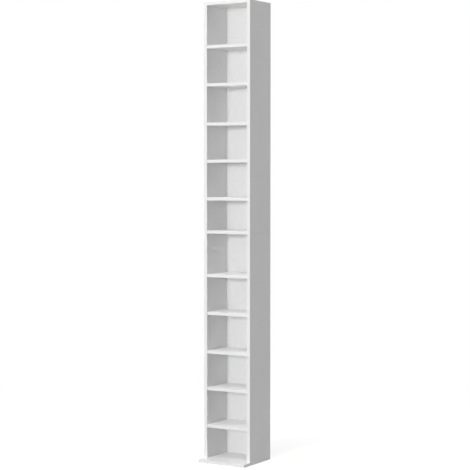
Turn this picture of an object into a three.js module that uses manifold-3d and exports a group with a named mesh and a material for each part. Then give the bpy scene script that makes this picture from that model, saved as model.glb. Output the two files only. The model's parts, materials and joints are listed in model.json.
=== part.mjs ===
// Tall, narrow media storage tower of white faced chipboard with twelve open compartments.
// Millimetres, +Z up. The open front faces -Y, and the origin lies under the middle of the base plate.
// The tower is built in two halves, whose side panels meet close to half height, beside the middle shelf.
// Ten loose shelves slide from the front onto bent wires, which sit hidden in slots in their ends.
import * as THREE from "three";
import { mergeVertices } from "three/addons/utils/BufferGeometryUtils.js";
import Module from "manifold-3d";

const wasm = await Module();
wasm.setup();

// Outer sizes
const towerWidth = 210;
const sideDepth = 158;
const baseProjection = 42;

// Boards
const baseThickness = 12;
const topThickness = 12;
const sideThickness = 14;
const shelfThickness = 12;
const edgeEasing = 0.4;

// Clear heights of the compartments of each half, from its top down
const upperFirstCompartment = 155.5;
const lowerFirstCompartment = 159;
const secondCompartment = 136.5;
const thirdCompartment = 140.5;
const fourthCompartment = 132.5;
const fifthCompartment = 135.5;
const upperSixthCompartment = 118;
const lowerSixthCompartment = 121.5;

// Shelves
const shelfSideGap = 0.5;
const shelfFrontSetback = 1;
const shelfRearGap = 1;

// Back panels, which run in grooves
const backThickness = 3;
const backInset = 7;
const backSeamGap = 0.5;
const grooveDepth = 5;
const grooveSideGap = 0.3;
const grooveEndGap = 0.5;

// Bent support wires and the slots in the shelf ends
const wireDiameter = 3;
const wireOffset = 4.5;
const wireBendRadius = 3;
const wireLegDepth = 8;
const wireRearInset = 14;
const wireGap = 0.3;
const wireEndGap = 0.5;
const slotDepth = 7.5;
const slotStop = 16;

// Screws through the base plate and the top panel into the ends of the side panels
const screwLength = 40;
const screwHeadDiameter = 8;
const screwHeadHeight = 2;
const screwRim = 0.4;
const screwNeckDiameter = 5;
const screwNeckLength = 14;
const screwCoreDiameter = 4;
const screwTipDiameter = 2.8;
const screwTipLength = 5;
const screwSocketWidth = 3;
const screwSocketDepth = 1.8;
const screwInset = 32;

// Dowels between the lower and the upper side panels
const dowelDiameter = 6;
const dowelLength = 30;
const dowelChamfer = 0.8;
const dowelInset = 28;

// Pegged supports under the middle shelf
const supportShankDiameter = 5;
const supportShankLength = 8;
const supportReach = 9;
const supportWidth = 9;
const supportThickness = 3;
const supportPegDiameter = 4;
const supportPegLength = 5;
const supportInset = 46;

// Clearance round a pin in its hole, the depth that a hole goes past it, and the overrun of a cut
const holeGap = 0.3;
const holeEndGap = 0.5;
const cutOverrun = 1;

// Number of sides of round pieces and of the screws' hexagon sockets, and steps of a wire bend
const roundSides = 12;
const wireSides = 8;
const socketSides = 6;
const bendSteps = 3;

// Worked out from the sizes above
const sharedCompartments = [secondCompartment, thirdCompartment, fourthCompartment, fifthCompartment];
const compartmentHeights = {
  upper: [upperFirstCompartment, ...sharedCompartments, upperSixthCompartment],
  lower: [lowerFirstCompartment, ...sharedCompartments, lowerSixthCompartment],
};
const sideLengths = { upper: sideLengthOf("upper"), lower: sideLengthOf("lower") };
const shelfCentres = { upper: shelfCentresOf("upper"), lower: shelfCentresOf("lower") };
const seamHeight = baseThickness + sideLengths.lower;
const topUnderside = seamHeight + sideLengths.upper;
const innerHalfWidth = towerWidth / 2 - sideThickness;
const baseDepth = sideDepth + baseProjection;
const rearY = baseDepth / 2;
const frontY = rearY - sideDepth;
const sideMiddleY = (frontY + rearY) / 2;
const backFrontY = rearY - backInset - backThickness;
const backMiddleY = backFrontY + backThickness / 2;
const shelfFrontY = frontY + shelfFrontSetback;
const shelfRearY = backFrontY - shelfRearGap;
const shelfDepth = shelfRearY - shelfFrontY;
const shelfMiddleY = (shelfFrontY + shelfRearY) / 2;
const shelfWidth = 2 * (innerHalfWidth - shelfSideGap);
const wireRadius = wireDiameter / 2;
const wireFrontY = shelfFrontY + slotStop + wireEndGap + wireRadius;
const wireRearY = shelfRearY - wireRearInset;

// Length of the side panels of a half, which end at the middle of the middle shelf
function sideLengthOf(half) {
  const heights = compartmentHeights[half];
  const shelfRoom = (heights.length - 1) * shelfThickness;
  return heights.reduce((sum, height) => sum + height, shelfRoom + shelfThickness / 2);
}

// Centre heights of the loose shelves above the floor of their half, from the top down
function shelfCentresOf(half) {
  const centres = [];
  let heightLeft = sideLengths[half] - shelfThickness / 2;
  for (const clearHeight of compartmentHeights[half].slice(0, -1)) {
    heightLeft -= clearHeight;
    centres.push(heightLeft - shelfThickness / 2);
    heightLeft -= shelfThickness;
  }
  return centres;
}

// Finishes
const boardFinish = { color: 0xf1f1ef, roughness: 0.45, metalness: 0 };
const backFinish = { color: 0xf3f3f1, roughness: 0.6, metalness: 0 };
const steelFinish = { color: 0xb9bcc0, roughness: 0.35, metalness: 1 };
const beechFinish = { color: 0xd8b483, roughness: 0.7, metalness: 0 };

const tower = new THREE.Group();
tower.name = "storage_tower";

function addPiece(name, geometry, finish, x, y, z, hand = 1) {
  const mesh = new THREE.Mesh(geometry, new THREE.MeshStandardMaterial(finish));
  mesh.name = name;
  mesh.position.set(x, y, z);
  mesh.scale.x = hand;
  tower.add(mesh);
  return mesh;
}

// Closed solids and the cuts and joins made on them

function solidOf(geometry) {
  const bare = geometry.clone();
  bare.deleteAttribute("normal");
  bare.deleteAttribute("uv");
  const merged = mergeVertices(bare);
  const vertProperties = new Float32Array(merged.attributes.position.array);
  const triVerts = new Uint32Array(merged.index.array);
  return new wasm.Manifold(new wasm.Mesh({ numProp: 3, vertProperties, triVerts }));
}

function geometryOf(solid) {
  const mesh = solid.getMesh();
  const positions = new THREE.BufferAttribute(new Float32Array(mesh.vertProperties), 3);
  const geometry = new THREE.BufferGeometry();
  geometry.setAttribute("position", positions);
  geometry.setIndex(new THREE.BufferAttribute(new Uint32Array(mesh.triVerts), 1));
  geometry.computeVertexNormals();
  return geometry;
}

function cut(geometry, cutters) {
  let solid = solidOf(geometry);
  for (const cutter of cutters) {
    solid = solid.subtract(solidOf(cutter));
  }
  return geometryOf(solid);
}

function join(geometries) {
  return geometryOf(geometries.map(solidOf).reduce((whole, next) => whole.add(next)));
}

// A board with every edge eased, centred on its own middle
function board(sizeX, sizeY, sizeZ) {
  const halfX = sizeX / 2;
  const halfY = sizeY / 2;
  const outline = new THREE.Shape();
  outline.moveTo(edgeEasing - halfX, -halfY);
  outline.lineTo(halfX - edgeEasing, -halfY);
  outline.lineTo(halfX, edgeEasing - halfY);
  outline.lineTo(halfX, halfY - edgeEasing);
  outline.lineTo(halfX - edgeEasing, halfY);
  outline.lineTo(edgeEasing - halfX, halfY);
  outline.lineTo(-halfX, halfY - edgeEasing);
  outline.lineTo(-halfX, edgeEasing - halfY);
  const flatHeight = sizeZ - 2 * edgeEasing;
  const geometry = new THREE.ExtrudeGeometry(outline, {
    depth: flatHeight,
    bevelThickness: edgeEasing,
    bevelSize: edgeEasing,
    bevelOffset: -edgeEasing,
    bevelSegments: 1,
  });
  return geometry.translate(0, 0, -flatHeight / 2);
}

// A block that spans from one corner to another
function block(from, to) {
  const size = to.map((value, axis) => value - from[axis]);
  const middle = to.map((value, axis) => (value + from[axis]) / 2);
  return new THREE.BoxGeometry(...size).translate(...middle);
}

// A round bar that starts at a point and runs along +X or +Z
function barAlongX(radius, length, sides, x, y, z) {
  const geometry = new THREE.CylinderGeometry(radius, radius, length, sides);
  return geometry.rotateZ(-Math.PI / 2).translate(x + length / 2, y, z);
}

function barAlongZ(radius, length, sides, x, y, z) {
  const geometry = new THREE.CylinderGeometry(radius, radius, length, sides);
  return geometry.rotateX(Math.PI / 2).translate(x, y, z + length / 2);
}

// A turned piece about the Z axis from pairs of radius and height, which start and end on the axis
function turned(pairs) {
  const profile = pairs.map(([radius, height]) => new THREE.Vector2(radius, height));
  return new THREE.LatheGeometry(profile, roundSides).rotateX(Math.PI / 2);
}

// Screw with a countersunk head at the top, a plain neck, a thinner core and a pilot tip

function screwGeometry() {
  const headRadius = screwHeadDiameter / 2;
  const neckRadius = screwNeckDiameter / 2;
  const coreRadius = screwCoreDiameter / 2;
  const tipRadius = screwTipDiameter / 2;
  const shoulder = neckRadius - coreRadius;
  const shank = turned([
    [0, -screwLength],
    [tipRadius, -screwLength],
    [tipRadius, screwTipLength - screwLength],
    [coreRadius, screwTipLength - screwLength + shoulder],
    [coreRadius, -screwNeckLength - shoulder],
    [neckRadius, -screwNeckLength],
    [neckRadius, -screwHeadHeight],
    [headRadius, -screwRim],
    [headRadius, 0],
    [0, 0],
  ]);
  const socketRadius = screwSocketWidth / Math.sqrt(3);
  const socketLength = screwSocketDepth + cutOverrun;
  const socket = barAlongZ(socketRadius, socketLength, socketSides, 0, 0, -screwSocketDepth);
  return cut(shank, [socket]);
}

// The room that a screw needs in the board under its head, with the head's top at the origin
function screwRoom(boardThickness) {
  const neckRadius = screwNeckDiameter / 2 + holeGap;
  const headRadius = screwHeadDiameter / 2 + holeGap;
  return turned([
    [0, -boardThickness - cutOverrun],
    [neckRadius, -boardThickness - cutOverrun],
    [neckRadius, -screwHeadHeight - holeGap],
    [headRadius, -screwRim - holeGap],
    [headRadius, cutOverrun],
    [0, cutOverrun],
  ]);
}

// Places of the screws and dowels along the depth of the side panels
const screwPlaces = { front: frontY + screwInset, rear: rearY - screwInset };
const dowelPlaces = { front: frontY + dowelInset, rear: rearY - dowelInset };
const supportPlaces = { front: shelfFrontY + supportInset, rear: shelfRearY - supportInset };
const hands = { left: -1, right: 1 };
const sideMiddleX = innerHalfWidth + sideThickness / 2;

// Base plate and top panel, each with four screw holes and a stopped groove for the back panel

function endBoard(depth, middleY, thickness, screwDirection) {
  const grooveHalfWidth = innerHalfWidth + grooveDepth;
  const innerFace = (screwDirection * thickness) / 2;
  const grooveHeights = [innerFace - screwDirection * grooveDepth, innerFace + screwDirection * cutOverrun];
  const cutters = [
    block(
      [-grooveHalfWidth, backFrontY - grooveSideGap - middleY, Math.min(...grooveHeights)],
      [grooveHalfWidth, backFrontY + backThickness + grooveSideGap - middleY, Math.max(...grooveHeights)],
    ),
  ];
  for (const hand of Object.values(hands)) {
    for (const place of Object.values(screwPlaces)) {
      const room = screwRoom(thickness);
      if (screwDirection > 0) {
        room.rotateX(Math.PI);
      }
      room.translate(hand * sideMiddleX, place - middleY, -innerFace);
      cutters.push(room);
    }
  }
  return cut(board(towerWidth, depth, thickness), cutters);
}

const baseGeometry = endBoard(baseDepth, 0, baseThickness, 1);
const topGeometry = endBoard(sideDepth, sideMiddleY, topThickness, -1);
addPiece("base_plate", baseGeometry, boardFinish, 0, 0, baseThickness / 2);
addPiece("top_panel", topGeometry, boardFinish, 0, sideMiddleY, topUnderside + topThickness / 2);

// Side panels: drawn for the right hand, with the inner face at x = 0 and the lower end at z = 0

function sidePanel(half) {
  const isLower = half === "lower";
  const sideLength = sideLengths[half];
  const floorHeight = isLower ? 0 : shelfThickness / 2;
  const wireHoleRadius = wireRadius + wireGap;
  const wireHoleDepth = wireLegDepth + holeEndGap;
  const screwRadius = screwNeckDiameter / 2 + holeGap;
  const screwBoard = isLower ? baseThickness : topThickness;
  const screwDepth = screwLength - screwBoard + holeEndGap;
  const dowelRadius = dowelDiameter / 2 + holeGap;
  const dowelDepth = dowelLength / 2 + holeEndGap;
  const middleX = sideThickness / 2;
  const groove = block(
    [-cutOverrun, backFrontY - grooveSideGap - sideMiddleY, -cutOverrun],
    [grooveDepth, backFrontY + backThickness + grooveSideGap - sideMiddleY, sideLength + cutOverrun],
  );
  const cutters = [groove];
  for (const centre of shelfCentres[half]) {
    for (const legY of [wireFrontY, wireRearY]) {
      const length = wireHoleDepth + cutOverrun;
      const height = floorHeight + centre;
      cutters.push(barAlongX(wireHoleRadius, length, wireSides, -cutOverrun, legY - sideMiddleY, height));
    }
  }
  for (const place of Object.values(screwPlaces)) {
    const start = isLower ? -cutOverrun : sideLength - screwDepth;
    const length = screwDepth + cutOverrun;
    cutters.push(barAlongZ(screwRadius, length, roundSides, middleX, place - sideMiddleY, start));
  }
  for (const place of Object.values(dowelPlaces)) {
    const start = isLower ? sideLength - dowelDepth : -cutOverrun;
    const length = dowelDepth + cutOverrun;
    cutters.push(barAlongZ(dowelRadius, length, roundSides, middleX, place - sideMiddleY, start));
  }
  if (isLower) {
    const radius = supportShankDiameter / 2 + holeGap;
    const length = supportShankLength + holeEndGap + cutOverrun;
    const height = sideLength - shelfThickness / 2 - supportShankDiameter / 2;
    for (const place of Object.values(supportPlaces)) {
      cutters.push(barAlongX(radius, length, roundSides, -cutOverrun, place - sideMiddleY, height));
    }
  }
  const panel = board(sideThickness, sideDepth, sideLength).translate(middleX, 0, sideLength / 2);
  return cut(panel, cutters);
}

const sideStarts = { lower: baseThickness, upper: seamHeight };
for (const [half, start] of Object.entries(sideStarts)) {
  const geometry = sidePanel(half);
  for (const [side, hand] of Object.entries(hands)) {
    const x = hand * innerHalfWidth;
    addPiece(`${half}_side_${side}`, geometry, boardFinish, x, sideMiddleY, start, hand);
  }
}

// Back panels, which meet behind the middle shelf

const backReach = grooveDepth - grooveEndGap;
const backWidth = 2 * (innerHalfWidth + backReach);
const awayFromSeam = { lower: -1, upper: 1 };
for (const [half, direction] of Object.entries(awayFromSeam)) {
  const height = sideLengths[half] + backReach - backSeamGap / 2;
  const geometry = new THREE.BoxGeometry(backWidth, backThickness, height);
  const z = seamHeight + (direction * (backSeamGap + height)) / 2;
  addPiece(`${half}_back`, geometry, backFinish, 0, backMiddleY, z);
}

// Middle shelf with a blind hole for each support peg

function middleShelf() {
  const radius = supportPegDiameter / 2 + holeGap;
  const depth = supportPegLength + holeEndGap;
  const start = -shelfThickness / 2 - cutOverrun;
  const cutters = [];
  for (const hand of Object.values(hands)) {
    for (const place of Object.values(supportPlaces)) {
      const x = hand * (innerHalfWidth - supportReach / 2);
      cutters.push(barAlongZ(radius, depth + cutOverrun, roundSides, x, place - shelfMiddleY, start));
    }
  }
  return cut(board(shelfWidth, shelfDepth, shelfThickness), cutters);
}

addPiece("middle_shelf", middleShelf(), boardFinish, 0, shelfMiddleY, seamHeight);

// Loose shelf with a slot in each end, open to the rear and stopped behind the front edge

function looseShelf() {
  const halfWidth = shelfWidth / 2;
  const slotHalfHeight = wireRadius + wireGap;
  const slotFront = slotStop - shelfDepth / 2;
  const slotRear = shelfDepth / 2 + cutOverrun;
  const cutters = [];
  for (const hand of Object.values(hands)) {
    const edges = [hand * (halfWidth - slotDepth), hand * (halfWidth + cutOverrun)];
    cutters.push(
      block(
        [Math.min(...edges), slotFront, -slotHalfHeight],
        [Math.max(...edges), slotRear, slotHalfHeight],
      ),
    );
  }
  return cut(board(shelfWidth, shelfDepth, shelfThickness), cutters);
}

// Bent wire: two legs in the side panel joined by a straight run, drawn for the right hand
// with the inner face of the side panel at x = 0 and the middle of the run at y = 0

function bentWire() {
  const halfSpan = (wireRearY - wireFrontY) / 2;
  const bendX = wireBendRadius - wireOffset;
  const bendY = halfSpan - wireBendRadius;
  const stations = [{ x: wireLegDepth, y: -halfSpan, turn: -Math.PI / 2 }];
  for (let step = 0; step <= bendSteps; step += 1) {
    const turn = -Math.PI / 2 - (Math.PI / 2) * (step / bendSteps);
    const x = bendX + wireBendRadius * Math.cos(turn);
    stations.push({ x, y: wireBendRadius * Math.sin(turn) - bendY, turn });
  }
  for (let step = 0; step <= bendSteps; step += 1) {
    const turn = Math.PI - (Math.PI / 2) * (step / bendSteps);
    const x = bendX + wireBendRadius * Math.cos(turn);
    stations.push({ x, y: wireBendRadius * Math.sin(turn) + bendY, turn });
  }
  stations.push({ x: wireLegDepth, y: halfSpan, turn: Math.PI / 2 });
  return sweptRound(stations, wireRadius, wireSides);
}

// A round section carried through flat stations, each with the direction that faces out of the bend
function sweptRound(stations, radius, sides) {
  const positions = [];
  const index = [];
  for (const { x, y, turn } of stations) {
    for (let side = 0; side < sides; side += 1) {
      const angle = (2 * Math.PI * side) / sides;
      const outward = radius * Math.cos(angle);
      positions.push(x + outward * Math.cos(turn), y + outward * Math.sin(turn), radius * Math.sin(angle));
    }
  }
  for (let ring = 0; ring + 1 < stations.length; ring += 1) {
    for (let side = 0; side < sides; side += 1) {
      const here = ring * sides + side;
      const beside = ring * sides + ((side + 1) % sides);
      index.push(here, beside, beside + sides);
      index.push(here, beside + sides, here + sides);
    }
  }
  const last = (stations.length - 1) * sides;
  for (let side = 1; side + 1 < sides; side += 1) {
    index.push(0, side + 1, side);
    index.push(last, last + side, last + side + 1);
  }
  const geometry = new THREE.BufferGeometry();
  geometry.setAttribute("position", new THREE.Float32BufferAttribute(positions, 3));
  geometry.setIndex(index);
  geometry.computeVertexNormals();
  return geometry;
}

const looseShelfGeometry = looseShelf();
const wireGeometry = bentWire();
const wireMiddleY = (wireFrontY + wireRearY) / 2;
const floors = { upper: seamHeight + shelfThickness / 2, lower: baseThickness };
for (const [half, floor] of Object.entries(floors)) {
  shelfCentres[half].forEach((centre, order) => {
    const name = `${half}_shelf_${order + 1}`;
    const z = floor + centre;
    addPiece(name, looseShelfGeometry, boardFinish, 0, shelfMiddleY, z);
    for (const [side, hand] of Object.entries(hands)) {
      const faceX = hand * innerHalfWidth;
      addPiece(`${name}_wire_${side}`, wireGeometry, steelFinish, faceX, wireMiddleY, z, hand);
    }
  });
}

// Pegged support: a shank in the side panel, a tongue under the middle shelf and a peg up into it,
// drawn for the right hand with the inner face of the side panel at x = 0 and the tongue's top at z = 0

function peggedSupport() {
  const shankRadius = supportShankDiameter / 2;
  const tongue = block([-supportReach, -supportWidth / 2, -supportThickness], [0, supportWidth / 2, 0]);
  const shankStart = -supportReach / 2;
  const shankLength = supportShankLength - shankStart;
  const shank = barAlongX(shankRadius, shankLength, roundSides, shankStart, 0, -shankRadius);
  const pegStart = -supportThickness / 2;
  const pegLength = supportPegLength - pegStart;
  const peg = barAlongZ(supportPegDiameter / 2, pegLength, roundSides, -supportReach / 2, 0, pegStart);
  return join([tongue, shank, peg]);
}

// Dowel with chamfered ends, centred on its own middle
function dowel() {
  const radius = dowelDiameter / 2;
  const half = dowelLength / 2;
  return turned([
    [0, -half],
    [radius - dowelChamfer, -half],
    [radius, dowelChamfer - half],
    [radius, half - dowelChamfer],
    [radius - dowelChamfer, half],
    [0, half],
  ]);
}

const supportGeometry = peggedSupport();
const dowelGeometry = dowel();
const topScrewGeometry = screwGeometry();
const baseScrewGeometry = topScrewGeometry.clone().rotateX(Math.PI);
const middleUnderside = seamHeight - shelfThickness / 2;
const towerHeight = topUnderside + topThickness;
for (const [side, hand] of Object.entries(hands)) {
  for (const end of Object.keys(screwPlaces)) {
    const name = `${end}_${side}`;
    const faceX = hand * innerHalfWidth;
    const x = hand * sideMiddleX;
    const supportY = supportPlaces[end];
    addPiece(`middle_support_${name}`, supportGeometry, steelFinish, faceX, supportY, middleUnderside, hand);
    addPiece(`seam_dowel_${name}`, dowelGeometry, beechFinish, x, dowelPlaces[end], seamHeight);
    addPiece(`base_screw_${name}`, baseScrewGeometry, steelFinish, x, screwPlaces[end], 0);
    addPiece(`top_screw_${name}`, topScrewGeometry, steelFinish, x, screwPlaces[end], towerHeight);
  }
}

export default tower;
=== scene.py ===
"""Looks of a tall white media storage tower, built round its CAD frame.

Lengths are in metres, and MM turns a size in millimetres into metres. The open front faces -Y.
"""

import json
import math

import bpy
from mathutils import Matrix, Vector

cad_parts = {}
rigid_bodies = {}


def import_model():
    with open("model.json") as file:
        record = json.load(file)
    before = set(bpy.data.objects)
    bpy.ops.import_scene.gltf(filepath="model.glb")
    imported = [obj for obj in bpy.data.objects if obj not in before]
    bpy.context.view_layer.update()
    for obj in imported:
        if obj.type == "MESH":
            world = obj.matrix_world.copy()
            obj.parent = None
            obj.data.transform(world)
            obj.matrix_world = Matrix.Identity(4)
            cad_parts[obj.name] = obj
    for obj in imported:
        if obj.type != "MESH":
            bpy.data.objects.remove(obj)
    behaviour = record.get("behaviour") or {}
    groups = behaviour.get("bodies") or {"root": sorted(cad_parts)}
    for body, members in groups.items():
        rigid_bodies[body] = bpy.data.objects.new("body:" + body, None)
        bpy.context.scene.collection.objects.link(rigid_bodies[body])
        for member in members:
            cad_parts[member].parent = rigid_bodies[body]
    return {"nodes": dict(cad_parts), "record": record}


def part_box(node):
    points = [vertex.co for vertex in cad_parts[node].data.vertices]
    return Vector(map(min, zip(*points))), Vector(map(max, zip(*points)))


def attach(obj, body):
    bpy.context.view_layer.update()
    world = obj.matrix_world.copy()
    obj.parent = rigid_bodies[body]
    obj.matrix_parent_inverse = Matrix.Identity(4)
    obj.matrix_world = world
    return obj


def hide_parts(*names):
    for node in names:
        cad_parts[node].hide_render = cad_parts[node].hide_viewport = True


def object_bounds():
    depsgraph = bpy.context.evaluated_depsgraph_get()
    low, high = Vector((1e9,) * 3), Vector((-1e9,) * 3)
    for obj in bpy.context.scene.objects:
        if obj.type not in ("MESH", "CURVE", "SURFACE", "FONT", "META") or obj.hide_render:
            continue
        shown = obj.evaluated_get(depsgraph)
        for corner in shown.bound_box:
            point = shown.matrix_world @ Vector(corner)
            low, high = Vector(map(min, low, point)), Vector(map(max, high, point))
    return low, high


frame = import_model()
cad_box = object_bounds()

MM = 0.001

# Camera, found from the tower's edges in the photograph
IMAGE_WIDTH_PX = 470
CAMERA_FOCAL_PX = 1467.6
CAMERA_YAW = math.radians(31.50)
CAMERA_PITCH = math.radians(-2.188)
CAMERA_DISTANCE = 5.7683
CAMERA_HEIGHT = 1.1428
CAMERA_SIDEWAYS = -0.0091
CAMERA_SHIFT_PX = -8
SENSOR_WIDTH_MM = 36

# Light: an even surround and softboxes, each with its direction from the middle of the tower, its
# width and its power in watts. The overhead fill casts no shadow, so that it reaches every shelf.
# The softbox below the floor lights nothing but the underside of the base plate.
AMBIENT_STRENGTH = 0.10
SOFTBOX_DISTANCE = 9.0
SOFTBOXES = {
    "front_softbox": ((0.0, -1.0, 0.10), 1.6, 424),
    "top_softbox": ((0.0, -0.42, 0.91), 4.0, 414),
    "overhead_fill": ((0.0, 0.0, 1.0), 4.0, 166),
    "left_softbox": ((-1.0, 0.09, 0.09), 4.0, 118),
    "right_softbox": ((1.0, 0.09, 0.09), 4.0, 118),
    "rear_softbox": ((0.0, 1.0, 0.15), 4.0, 300),
    "underside_softbox": ((0.0, 0.0, -1.0), 4.0, 300),
}
SHADOWLESS_SOFTBOX = "overhead_fill"

# Floor: it glows to white, darkens a little in shadow and fades out away from the tower. It laps
# under the base plate as far as the eased edges of that board reach in.
FLOOR_HALF_SIZE = 30.0
FLOOR_LAP = 0.4 * MM
FLOOR_GLOW = 0.78
FLOOR_FADE_START = 1.0
FLOOR_FADE_END = 2.2

# Edge banding and cut chipboard
BAND_THICKNESS = 0.8 * MM
GLUE_LINE_WIDTH = 0.5 * MM
FACING_DEPTH = 0.6 * MM

# Support wires
WIRE_BEND_RADIUS = 3 * MM
WIRE_END_CHAMFER = 0.3 * MM
WIRE_BEND_STEPS = 10
WIRE_SIDES = 20

# Screws. The ridge of the thread takes up a share of its pitch.
SCREW_SIDES = 36
SCREW_HEAD_HEIGHT = 2 * MM
SCREW_RIM = 0.4 * MM
SCREW_EASING = 0.1 * MM
SCREW_NECK_RADIUS = 2.5 * MM
SCREW_NECK_LENGTH = 14 * MM
SCREW_CORE_RADIUS = 1.9 * MM
SCREW_THREAD_HEIGHT = 0.65 * MM
SCREW_THREAD_PITCH = 2.6 * MM
SCREW_RIDGE_SHARE = 0.5
SCREW_RINGS_PER_PITCH = 10
SCREW_TIP_RADIUS = 1.2 * MM
SCREW_TIP_LENGTH = 5 * MM
SOCKET_WIDTH = 3 * MM
SOCKET_DEPTH = 1.8 * MM
SOCKET_CHAMFER = 0.2 * MM
SOCKET_SIDES = 6

# Dowels
DOWEL_FLUTES = 18
DOWEL_POINTS_PER_FLUTE = 4
DOWEL_FLUTE_DEPTH = 0.2 * MM
DOWEL_CHAMFER = 0.8 * MM

# Pegged supports
SUPPORT_SIDES = 32
SUPPORT_SHANK_RADIUS = 2.5 * MM
SUPPORT_SHANK_LENGTH = 8 * MM
SUPPORT_TONGUE_THICKNESS = 3 * MM
SUPPORT_PEG_RADIUS = 2 * MM
SUPPORT_CORNER_RADIUS = 2.5 * MM
SUPPORT_CORNER_STEPS = 6
SUPPORT_EASING = 0.3 * MM

# Faces of a smooth piece that meet at more than this angle keep a sharp edge
SHARP_ANGLE = math.radians(32)

ROOT_BODY = frame["record"]["behaviour"]["joints"][0]["parent"]
nodes = frame["nodes"]
slot_of_node = {row["node"]: row["material_slot"] for row in frame["record"]["subparts"]}


def colour(hex_value):
    """An sRGB hex colour as linear RGBA."""
    channels = [int(hex_value[i:i + 2], 16) / 255 for i in (1, 3, 5)]
    linear = [c / 12.92 if c <= 0.04045 else ((c + 0.055) / 1.055) ** 2.4 for c in channels]
    return (*linear, 1.0)


def add_node(tree, kind, links=None, **settings):
    """Adds a node, sets its attributes, and links or sets its inputs by name."""
    node = tree.nodes.new(kind)
    for name, value in settings.items():
        setattr(node, name, value)
    for key, source in (links or {}).items():
        if isinstance(source, bpy.types.NodeSocket):
            tree.links.new(source, node.inputs[key])
        else:
            node.inputs[key].default_value = source
    return node


def new_material(name):
    """An empty node material and its tree."""
    material = bpy.data.materials.new(name)
    material.use_nodes = True
    material.node_tree.nodes.clear()
    return material, material.node_tree


def finish_material(tree, surface):
    """Sends a shader to the material's surface."""
    add_node(tree, "ShaderNodeOutputMaterial", {"Surface": surface})


def two_tones(tree, value, start, start_colour, end, end_colour):
    """A ramp between two close colours of one finish."""
    ramp = add_node(tree, "ShaderNodeValToRGB", {"Fac": value})
    for stop, position, tone in zip(ramp.color_ramp.elements, (start, end), (start_colour, end_colour)):
        stop.position = position
        stop.color = colour(tone)
    return ramp.outputs["Color"]


def melamine_faced_board(name, size):
    """Chipboard pressed with white melamine paper, its edges banded in ABS: an even satin white
    with broad soft highlights. A fine line follows the banded edges, and slots and bores are raw
    chipboard. The size is the board's own, so that depth under its faces is known."""
    # The pressed pearl texture is about 1 mm across, too fine to show here, so it is drawn wider
    pearl_size = 9 * MM
    pearl_depth = 0.05 * MM
    cloud_size = 220 * MM
    chip_size = 2.2 * MM
    # Generated places run from 0 to 1 through the board
    board_middle = (0.5, 0.5, 0.5)
    thin_axis = min(range(3), key=lambda axis: size[axis])
    axis_names = "XYZ"
    material, tree = new_material(name)
    place = add_node(tree, "ShaderNodeTexCoord")

    # Depth under the nearest face, and distance in from the nearest banded edge
    offset = add_node(tree, "ShaderNodeVectorMath", {
        0: place.outputs["Generated"], 1: board_middle}, operation="SUBTRACT")
    spread = add_node(tree, "ShaderNodeVectorMath", {0: offset.outputs["Vector"]}, operation="ABSOLUTE")
    inward = add_node(tree, "ShaderNodeVectorMath", {
        0: board_middle, 1: spread.outputs["Vector"]}, operation="SUBTRACT")
    depths = add_node(tree, "ShaderNodeVectorMath", {
        0: inward.outputs["Vector"], 1: size}, operation="MULTIPLY")
    depth = add_node(tree, "ShaderNodeSeparateXYZ", {"Vector": depths.outputs["Vector"]})
    across, along = [name for axis, name in enumerate(axis_names) if axis != thin_axis]
    from_edge = add_node(tree, "ShaderNodeMath", {
        0: depth.outputs[across], 1: depth.outputs[along]}, operation="MINIMUM")
    under_face = add_node(tree, "ShaderNodeMath", {
        0: from_edge.outputs["Value"], 1: depth.outputs[axis_names[thin_axis]]}, operation="MINIMUM")
    raw = add_node(tree, "ShaderNodeMath", {
        0: under_face.outputs["Value"], 1: FACING_DEPTH}, operation="GREATER_THAN")
    glue_line = add_node(tree, "ShaderNodeMath", {
        0: from_edge.outputs["Value"], 1: BAND_THICKNESS, 2: GLUE_LINE_WIDTH / 2}, operation="COMPARE")

    # Colours of the facing, the glue line and the cut chipboard
    cloud = add_node(tree, "ShaderNodeTexNoise", {
        "Vector": place.outputs["Object"], "Scale": 1 / cloud_size, "Detail": 3.0})
    facing = two_tones(tree, cloud.outputs["Fac"], 0.35, "#EAEAEA", 0.65, "#EEEEEE")
    edged = add_node(tree, "ShaderNodeMix", {
        "Factor": glue_line.outputs["Value"], "A": facing, "B": colour("#D9D9D9")}, data_type="RGBA")
    chips = add_node(tree, "ShaderNodeTexVoronoi", {
        "Vector": place.outputs["Object"], "Scale": 1 / chip_size})
    chip = add_node(tree, "ShaderNodeSeparateColor", {"Color": chips.outputs["Color"]})
    core = two_tones(tree, chip.outputs["Red"], 0.1, "#A98459", 0.9, "#D6B88C")
    paint = add_node(tree, "ShaderNodeMix", {
        "Factor": raw.outputs["Value"], "A": edged.outputs["Result"], "B": core}, data_type="RGBA")

    # Satin facing with a pearled relief, dull where cut
    pearl = add_node(tree, "ShaderNodeTexNoise", {
        "Vector": place.outputs["Object"], "Scale": 1 / pearl_size, "Detail": 2.0})
    sheen = add_node(tree, "ShaderNodeMapRange", {
        "Value": cloud.outputs["Fac"], "From Min": 0.3, "From Max": 0.7, "To Min": 0.28, "To Max": 0.34})
    gloss = add_node(tree, "ShaderNodeMix", {
        "Factor": raw.outputs["Value"], "A": sheen.outputs["Result"], "B": 0.85}, data_type="FLOAT")
    relief = add_node(tree, "ShaderNodeBump", {
        "Height": pearl.outputs["Fac"], "Strength": 0.2, "Distance": pearl_depth})
    shader = add_node(tree, "ShaderNodeBsdfPrincipled", {
        "Base Color": paint.outputs["Result"],
        "Roughness": gloss.outputs["Result"],
        "Normal": relief.outputs["Normal"],
        "IOR": 1.5,
    })
    finish_material(tree, shader.outputs["BSDF"])
    return material


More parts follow.
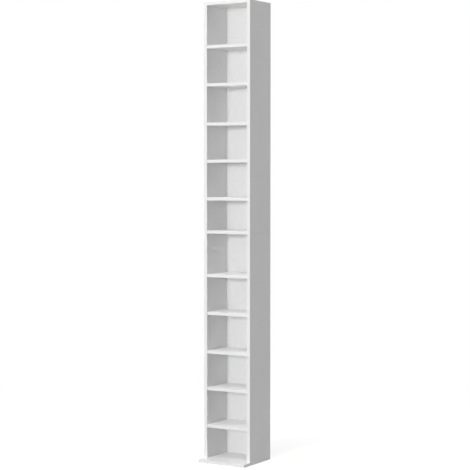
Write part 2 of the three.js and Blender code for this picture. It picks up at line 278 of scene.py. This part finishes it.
def lacquered_fibreboard():
    """Thin fibreboard, roller-lacquered white in front and left bare behind: a flat white that is
    a little softer than the boards, and a brown rear face with short fibres."""
    # Fibres are under 1 mm across and roller marks a few, too fine to show here, so both are drawn wider
    fibre_size = 2.5 * MM
    fibre_depth = 0.05 * MM
    roller_size = 14 * MM
    material, tree = new_material("lacquered_fibreboard")
    place = add_node(tree, "ShaderNodeTexCoord")
    fibres = add_node(tree, "ShaderNodeTexNoise", {
        "Vector": place.outputs["Object"], "Scale": 1 / fibre_size, "Detail": 4.0, "Roughness": 0.7})
    bare = two_tones(tree, fibres.outputs["Fac"], 0.3, "#A07E5A", 0.7, "#B8956D")
    rolled = add_node(tree, "ShaderNodeTexNoise", {
        "Vector": place.outputs["Object"], "Scale": 1 / roller_size, "Detail": 2.0})
    lacquer = two_tones(tree, rolled.outputs["Fac"], 0.35, "#E4E4E4", 0.65, "#E7E7E7")
    facing = add_node(tree, "ShaderNodeSeparateXYZ", {"Vector": place.outputs["Normal"]})
    rear = add_node(tree, "ShaderNodeMath", {0: facing.outputs["Y"], 1: 0.5}, operation="GREATER_THAN")
    paint = add_node(tree, "ShaderNodeMix", {
        "Factor": rear.outputs["Value"], "A": lacquer, "B": bare}, data_type="RGBA")
    gloss = add_node(tree, "ShaderNodeMapRange", {
        "Value": rear.outputs["Value"], "To Min": 0.42, "To Max": 0.85})
    relief = add_node(tree, "ShaderNodeBump", {
        "Height": fibres.outputs["Fac"], "Strength": 0.2, "Distance": fibre_depth})
    shader = add_node(tree, "ShaderNodeBsdfPrincipled", {
        "Base Color": paint.outputs["Result"],
        "Roughness": gloss.outputs["Result"],
        "Normal": relief.outputs["Normal"],
        "IOR": 1.5,
    })
    finish_material(tree, shader.outputs["BSDF"])
    return material


def zinc_plated_steel():
    """Bright zinc plated on steel: a cool grey metal, a little cloudy, with soft glints."""
    cloud_size = 5 * MM
    material, tree = new_material("zinc_plated_steel")
    place = add_node(tree, "ShaderNodeTexCoord")
    cloud = add_node(tree, "ShaderNodeTexNoise", {
        "Vector": place.outputs["Object"], "Scale": 1 / cloud_size, "Detail": 1.0})
    tint = two_tones(tree, cloud.outputs["Fac"], 0.3, "#BDC0C4", 0.7, "#CBCED1")
    gloss = add_node(tree, "ShaderNodeMapRange", {
        "Value": cloud.outputs["Fac"], "From Min": 0.3, "From Max": 0.7, "To Min": 0.28, "To Max": 0.34})
    shader = add_node(tree, "ShaderNodeBsdfPrincipled", {
        "Base Color": tint, "Roughness": gloss.outputs["Result"], "Metallic": 1.0})
    finish_material(tree, shader.outputs["BSDF"])
    return material


def turned_beech():
    """Beech turned to a dowel: pale pinkish brown with fine grain along its length."""
    grain_width = 0.8 * MM
    grain_stretch = 10
    material, tree = new_material("turned_beech")
    place = add_node(tree, "ShaderNodeTexCoord")
    drawn_out = add_node(tree, "ShaderNodeMapping", {
        "Vector": place.outputs["Object"], "Scale": (1.0, 1.0, 1 / grain_stretch)})
    grain = add_node(tree, "ShaderNodeTexNoise", {
        "Vector": drawn_out.outputs["Vector"], "Scale": 1 / grain_width, "Detail": 3.0})
    tint = two_tones(tree, grain.outputs["Fac"], 0.35, "#C39A6B", 0.65, "#DDBB8D")
    shader = add_node(tree, "ShaderNodeBsdfPrincipled", {"Base Color": tint, "Roughness": 0.6, "IOR": 1.5})
    finish_material(tree, shader.outputs["BSDF"])
    return material


def paint_cad_nodes(finishes):
    """Gives every CAD node the finish of its slot, and each size of board a finish of its own."""
    boards = {}
    for name, piece in nodes.items():
        slot = slot_of_node[name]
        if slot == "white_board":
            low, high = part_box(name)
            size = tuple(round(length, 4) for length in Vector(high) - Vector(low))
            if size not in boards:
                boards[size] = melamine_faced_board(f"melamine_faced_chipboard_{len(boards) + 1}", size)
            finish = boards[size]
        else:
            finish = finishes[slot]
        piece.data.materials.clear()
        piece.data.materials.append(finish)


def stacked_rings(rings):
    """A closed skin over rings of equally many points, with a flat face at each end."""
    sides = len(rings[0])
    vertices = [point for ring in rings for point in ring]
    faces = [tuple(reversed(range(sides)))]
    for first in range(0, len(vertices) - sides, sides):
        for side in range(sides):
            here = first + side
            beside = first + (side + 1) % sides
            faces.append((here, beside, beside + sides, here + sides))
    faces.append(tuple(range(len(vertices) - sides, len(vertices))))
    return vertices, faces


def turned_rings(profile, sides, place):
    """Rings about the Z axis from pairs of height and radius, where a radius may vary with the angle."""
    rings = []
    for height, radius in profile:
        ring = []
        for side in range(sides):
            angle = math.tau * side / sides
            reach = radius(angle) if callable(radius) else radius
            ring.append(place(Vector((reach * math.cos(angle), reach * math.sin(angle), height))))
        rings.append(ring)
    return rings


def new_piece(name, vertices, faces, finish, node):
    """A smooth piece that stands for a CAD node and hides it, riding on the root body with the finish it is
    given.
    """
    mesh = bpy.data.meshes.new(name)
    mesh.from_pydata(vertices, [], faces)
    mesh.shade_smooth()
    mesh.set_sharp_from_angle(angle=SHARP_ANGLE)
    mesh.materials.append(finish)
    piece = bpy.data.objects.new(name, mesh)
    bpy.context.scene.collection.objects.link(piece)
    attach(piece, ROOT_BODY)
    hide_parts(node)
    return piece


def beside_panel(node):
    """Measures of a node that is let into a side panel: its size, and the way to place a point that
    is drawn for the right hand from the end in the panel. The left hand is turned half way round."""
    low, high = (Vector(corner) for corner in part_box(node))
    middle = (low + high) / 2
    hand = 1 if middle.x > 0 else -1
    origin = Vector((high.x if hand > 0 else low.x, middle.y, high.z))

    def place(point):
        return origin + Vector((hand * point.x, hand * point.y, point.z))

    return high - low, place


def make_support_wire(node, finish):
    """A bent wire: two legs in the side panel and a straight run that the shelf slides onto."""
    size, place = beside_panel(node)
    radius = size.z / 2
    half_span = size.y / 2 - radius
    bend_x = radius + WIRE_BEND_RADIUS - size.x

    # Centre line from the front leg's end to the rear one's, as x, y and heading
    stations = [(0, -half_span, math.pi), (-WIRE_END_CHAMFER, -half_span, math.pi)]
    for first_heading, bend_y in ((math.pi, WIRE_BEND_RADIUS - half_span),
                                  (math.pi / 2, half_span - WIRE_BEND_RADIUS)):
        for step in range(WIRE_BEND_STEPS + 1):
            heading = first_heading - math.pi / 2 * step / WIRE_BEND_STEPS
            x = bend_x - WIRE_BEND_RADIUS * math.sin(heading)
            stations.append((x, bend_y + WIRE_BEND_RADIUS * math.cos(heading), heading))
    stations += [(-WIRE_END_CHAMFER, half_span, 0), (0, half_span, 0)]

    rings = []
    for order, (x, y, heading) in enumerate(stations):
        at_end = order in (0, len(stations) - 1)
        reach = radius - WIRE_END_CHAMFER if at_end else radius
        ring = []
        for side in range(WIRE_SIDES):
            angle = math.tau * side / WIRE_SIDES
            across = reach * math.cos(angle)
            height = reach * math.sin(angle) - radius
            point = Vector((x - across * math.sin(heading), y + across * math.cos(heading), height))
            ring.append(place(point))
        rings.append(ring)
    new_piece(f"{node}_drawn", *stacked_rings(rings), finish, node)


def tongue_ring(size, inset, height, place):
    """The tongue seen from above: square at the side panel and round at its two free corners."""
    face_x = -SUPPORT_SHANK_LENGTH
    half_width = size.y / 2
    ring = [(face_x - inset, inset - half_width), (face_x - inset, half_width - inset)]
    corner_x = SUPPORT_CORNER_RADIUS - size.x
    corner_y = half_width - SUPPORT_CORNER_RADIUS
    for centre_y, first_angle in ((corner_y, math.pi / 2), (-corner_y, math.pi)):
        for step in range(SUPPORT_CORNER_STEPS + 1):
            angle = first_angle + math.pi / 2 * step / SUPPORT_CORNER_STEPS
            reach = SUPPORT_CORNER_RADIUS - inset
            ring.append((corner_x + reach * math.cos(angle), centre_y + reach * math.sin(angle)))
    return [place(Vector((x, y, height))) for x, y in ring]


def pin_profile(start, end, radius):
    """A round pin with an eased far end, as heights and radii."""
    return [(start, radius), (end - SUPPORT_EASING, radius), (end, radius - SUPPORT_EASING)]


def joined(solids):
    """One closed skin round solids that overlap, as vertices and faces."""
    pieces = []
    for vertices, faces in solids:
        mesh = bpy.data.meshes.new("part_of_support")
        mesh.from_pydata(vertices, [], faces)
        pieces.append(bpy.data.objects.new("part_of_support", mesh))
        bpy.context.scene.collection.objects.link(pieces[-1])
    for other in pieces[1:]:
        union = pieces[0].modifiers.new("union", "BOOLEAN")
        union.operation = "UNION"
        union.object = other
    whole = pieces[0].evaluated_get(bpy.context.evaluated_depsgraph_get()).to_mesh()
    vertices = [vertex.co.copy() for vertex in whole.vertices]
    faces = [tuple(face.vertices) for face in whole.polygons]
    for piece in pieces:
        bpy.data.meshes.remove(piece.data)
    return vertices, faces


def make_middle_support(node, finish):
    """A pegged support: a shank in the side panel, a tongue under the shelf and a peg up into it."""
    size, place = beside_panel(node)
    peg_height = size.z - 2 * SUPPORT_SHANK_RADIUS
    tongue_top = -peg_height
    tongue_bottom = tongue_top - SUPPORT_TONGUE_THICKNESS
    peg_x = -(SUPPORT_SHANK_LENGTH + size.x) / 2
    tongue = [
        tongue_ring(size, SUPPORT_EASING, tongue_bottom, place),
        tongue_ring(size, 0, tongue_bottom + SUPPORT_EASING, place),
        tongue_ring(size, 0, tongue_top - SUPPORT_EASING, place),
        tongue_ring(size, SUPPORT_EASING, tongue_top, place),
    ]
    peg = turned_rings(
        pin_profile(tongue_bottom + SUPPORT_TONGUE_THICKNESS / 2, 0, SUPPORT_PEG_RADIUS), SUPPORT_SIDES,
        lambda point: place(Vector((peg_x + point.x, point.y, point.z))))
    shank = turned_rings(
        pin_profile(peg_x, 0, SUPPORT_SHANK_RADIUS), SUPPORT_SIDES,
        lambda point: place(Vector((point.z, point.x, tongue_top - SUPPORT_SHANK_RADIUS + point.y))))
    skin = joined([stacked_rings(rings) for rings in (tongue, shank, peg)])
    new_piece(f"{node}_cast", *skin, finish, node)


def thread_radius(height):
    """Radius round a screw at one height, where a helical ridge crosses it."""
    half_ridge = SCREW_RIDGE_SHARE / 2

    def radius(angle):
        phase = (height / SCREW_THREAD_PITCH - angle / math.tau) % 1
        ridge = max(0.0, 1 - abs(phase - 0.5) / half_ridge)
        return SCREW_CORE_RADIUS + SCREW_THREAD_HEIGHT * ridge
    return radius


def socket_radius(width):
    """Radius round a hexagon of the given width across its flats."""
    def radius(angle):
        sector = math.tau / SOCKET_SIDES
        return width / 2 / math.cos((angle + sector / 2) % sector - sector / 2)
    return radius


def make_screw(node, finish):
    """A countersunk screw with a hexagon socket, a plain neck and a cut thread."""
    low, high = (Vector(corner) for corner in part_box(node))
    middle = (low + high) / 2
    length = high.z - low.z
    head_radius = (high.x - low.x) / 2
    from_below = middle.z < (cad_box[0][2] + cad_box[1][2]) / 2
    thread_start = SCREW_TIP_LENGTH - length
    thread_end = -SCREW_NECK_LENGTH - (SCREW_NECK_RADIUS - SCREW_CORE_RADIUS)
    steps = round((thread_end - thread_start) / SCREW_THREAD_PITCH * SCREW_RINGS_PER_PITCH)
    profile = [
        (-length, SCREW_TIP_RADIUS),
        (thread_start - SCREW_TIP_LENGTH / 2, SCREW_CORE_RADIUS),
        (thread_start, SCREW_CORE_RADIUS),
    ]
    for step in range(1, steps):
        height = thread_start + (thread_end - thread_start) * step / steps
        profile.append((height, thread_radius(height)))
    profile += [
        (thread_end, SCREW_CORE_RADIUS),
        (-SCREW_NECK_LENGTH, SCREW_NECK_RADIUS),
        (-SCREW_HEAD_HEIGHT, SCREW_NECK_RADIUS),
        (-SCREW_RIM, head_radius),
        (-SCREW_EASING, head_radius),
        (0, head_radius - SCREW_EASING),
        (0, socket_radius(SOCKET_WIDTH + 2 * SOCKET_CHAMFER)),
        (-SOCKET_CHAMFER, socket_radius(SOCKET_WIDTH)),
        (-SOCKET_DEPTH, socket_radius(SOCKET_WIDTH)),
    ]

    def place(point):
        if from_below:
            return Vector((middle.x + point.x, middle.y - point.y, low.z - point.z))
        return Vector((middle.x + point.x, middle.y + point.y, high.z + point.z))

    new_piece(f"{node}_threaded", *stacked_rings(turned_rings(profile, SCREW_SIDES, place)), finish, node)


def make_dowel(node, finish):
    """A beech dowel with shallow flutes for the glue and chamfered ends."""
    low, high = (Vector(corner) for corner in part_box(node))
    middle = (low + high) / 2
    half_length = (high.z - low.z) / 2
    outer_radius = (high.x - low.x) / 2

    def fluted(angle):
        return outer_radius - DOWEL_FLUTE_DEPTH * (0.5 + 0.5 * math.cos(DOWEL_FLUTES * angle))

    end_radius = outer_radius - DOWEL_CHAMFER
    profile = [
        (-half_length, end_radius),
        (DOWEL_CHAMFER - half_length, fluted),
        (half_length - DOWEL_CHAMFER, fluted),
        (half_length, end_radius),
    ]
    sides = DOWEL_FLUTES * DOWEL_POINTS_PER_FLUTE
    rings = turned_rings(profile, sides, lambda point: middle + point)
    new_piece(f"{node}_fluted", *stacked_rings(rings), finish, node)


def seen_or_lit(tree, seen, lit):
    """One shader for camera, mirror and glass rays, and another for the light that is thrown on."""
    path = add_node(tree, "ShaderNodeLightPath")
    either = add_node(tree, "ShaderNodeMath", {
        0: path.outputs["Is Camera Ray"], 1: path.outputs["Is Glossy Ray"]}, operation="MAXIMUM")
    any_seen = add_node(tree, "ShaderNodeMath", {
        0: either.outputs["Value"], 1: path.outputs["Is Transmission Ray"]}, operation="MAXIMUM")
    return add_node(tree, "ShaderNodeMixShader", {0: any_seen.outputs["Value"], 1: lit, 2: seen})


def corners_round(middle, half_width, half_depth):
    """Four corners of a rectangle on the floor, in order round its middle."""
    turns = ((-1, -1), (1, -1), (1, 1), (-1, 1))
    return [(middle.x + across * half_width, middle.y + along * half_depth, 0) for across, along in turns]


def make_floor():
    """A wide pale floor that shows white and keeps a light shadow of the tower. It is open under the
    base plate and clear from below, so that the tower's underside can be seen as well."""
    low, high = (Vector(corner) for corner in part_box("base_plate"))
    middle = (low + high) / 2
    rim = corners_round(middle, FLOOR_HALF_SIZE, FLOOR_HALF_SIZE)
    hole = corners_round(middle, (high.x - low.x) / 2 - FLOOR_LAP, (high.y - low.y) / 2 - FLOOR_LAP)
    strips = []
    for side in range(len(rim)):
        beside = (side + 1) % len(rim)
        strips.append((side, beside, beside + len(rim), side + len(rim)))
    mesh = bpy.data.meshes.new("studio_floor")
    mesh.from_pydata(rim + hole, [], strips)
    floor = bpy.data.objects.new("studio_floor", mesh)
    bpy.context.scene.collection.objects.link(floor)
    material, tree = new_material("pale_studio_floor")
    shaded = add_node(tree, "ShaderNodeBsdfDiffuse", {"Color": colour("#A0A0A0")})
    glow = add_node(tree, "ShaderNodeEmission", {"Color": colour("#FFFFFF"), "Strength": FLOOR_GLOW})
    near = add_node(tree, "ShaderNodeAddShader", {0: shaded.outputs["BSDF"], 1: glow.outputs["Emission"]})
    far = add_node(tree, "ShaderNodeEmission", {"Color": colour("#FFFFFF"), "Strength": 1.0})
    place = add_node(tree, "ShaderNodeTexCoord")
    distance = add_node(tree, "ShaderNodeVectorMath", {0: place.outputs["Object"]}, operation="LENGTH")
    fade = add_node(tree, "ShaderNodeMapRange", {
        "Value": distance.outputs["Value"], "From Min": FLOOR_FADE_START, "From Max": FLOOR_FADE_END})
    seen = add_node(tree, "ShaderNodeMixShader", {
        0: fade.outputs["Result"], 1: near.outputs["Shader"], 2: far.outputs["Emission"]})
    lit = add_node(tree, "ShaderNodeBsdfDiffuse", {"Color": colour("#B4B4B4")})
    mixed = seen_or_lit(tree, seen.outputs["Shader"], lit.outputs["BSDF"])
    underneath = add_node(tree, "ShaderNodeNewGeometry")
    clear = add_node(tree, "ShaderNodeBsdfTransparent")
    one_sided = add_node(tree, "ShaderNodeMixShader", {
        0: underneath.outputs["Backfacing"], 1: mixed.outputs["Shader"], 2: clear.outputs["BSDF"]})
    finish_material(tree, one_sided.outputs["Shader"])
    mesh.materials.append(material)


def make_world():
    """Even white surroundings: pure white to the eye, and a plain level of light on the tower."""
    world = bpy.data.worlds.new("studio")
    bpy.context.scene.world = world
    world.use_nodes = True
    tree = world.node_tree
    tree.nodes.clear()
    seen = add_node(tree, "ShaderNodeBackground", {"Color": colour("#FFFFFF"), "Strength": 1.0})
    lit = add_node(tree, "ShaderNodeBackground", {"Color": colour("#FFFFFF"), "Strength": AMBIENT_STRENGTH})
    mixed = seen_or_lit(tree, seen.outputs["Background"], lit.outputs["Background"])
    add_node(tree, "ShaderNodeOutputWorld", {"Surface": mixed.outputs["Shader"]})


def make_softbox(name, direction, width, power):
    """A square lamp that faces the middle of the tower."""
    low, high = (Vector(corner) for corner in cad_box)
    away = Vector(direction).normalized()
    lamp = bpy.data.lights.new(name, "AREA")
    lamp.shape = "SQUARE"
    lamp.size = width
    lamp.energy = power
    lamp.use_shadow = name != SHADOWLESS_SOFTBOX
    light = bpy.data.objects.new(name, lamp)
    light.location = (low + high) / 2 + away * SOFTBOX_DISTANCE
    light.rotation_mode = "QUATERNION"
    light.rotation_quaternion = away.to_track_quat("Z", "Y")
    bpy.context.scene.collection.objects.link(light)


def make_camera():
    """The photograph's camera: a little over a metre up, to the right of the open front."""
    side_low, side_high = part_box("lower_side_right")
    body_middle = (side_low[1] + side_high[1]) / 2
    forward = Vector((-math.sin(CAMERA_YAW), math.cos(CAMERA_YAW), 0))
    right = Vector((math.cos(CAMERA_YAW), math.sin(CAMERA_YAW), 0))
    data = bpy.data.cameras.new("photo_camera")
    data.sensor_width = SENSOR_WIDTH_MM
    data.lens = CAMERA_FOCAL_PX / IMAGE_WIDTH_PX * SENSOR_WIDTH_MM
    data.shift_y = CAMERA_SHIFT_PX / IMAGE_WIDTH_PX
    camera = bpy.data.objects.new("photo_camera", data)
    aim = Vector((0, body_middle, CAMERA_HEIGHT))
    camera.location = aim - forward * CAMERA_DISTANCE + right * CAMERA_SIDEWAYS
    camera.rotation_euler = (math.pi / 2 + CAMERA_PITCH, 0, CAMERA_YAW)
    bpy.context.scene.collection.objects.link(camera)
    bpy.context.scene.camera = camera


bpy.context.scene.view_settings.view_transform = "Standard"
make_camera()
make_world()
for softbox, (direction, width, power) in SOFTBOXES.items():
    make_softbox(softbox, direction, width, power)
make_floor()

finishes = {
    "white_fibreboard": lacquered_fibreboard(),
    "zinc_steel": zinc_plated_steel(),
    "beech": turned_beech(),
}
paint_cad_nodes(finishes)
makers = {
    "_wire_": make_support_wire,
    "_screw_": make_screw,
    "_dowel_": make_dowel,
    "_support_": make_middle_support,
}
for node in sorted(nodes):
    for word, make in makers.items():
        if word in node:
            make(node, finishes[slot_of_node[node]])
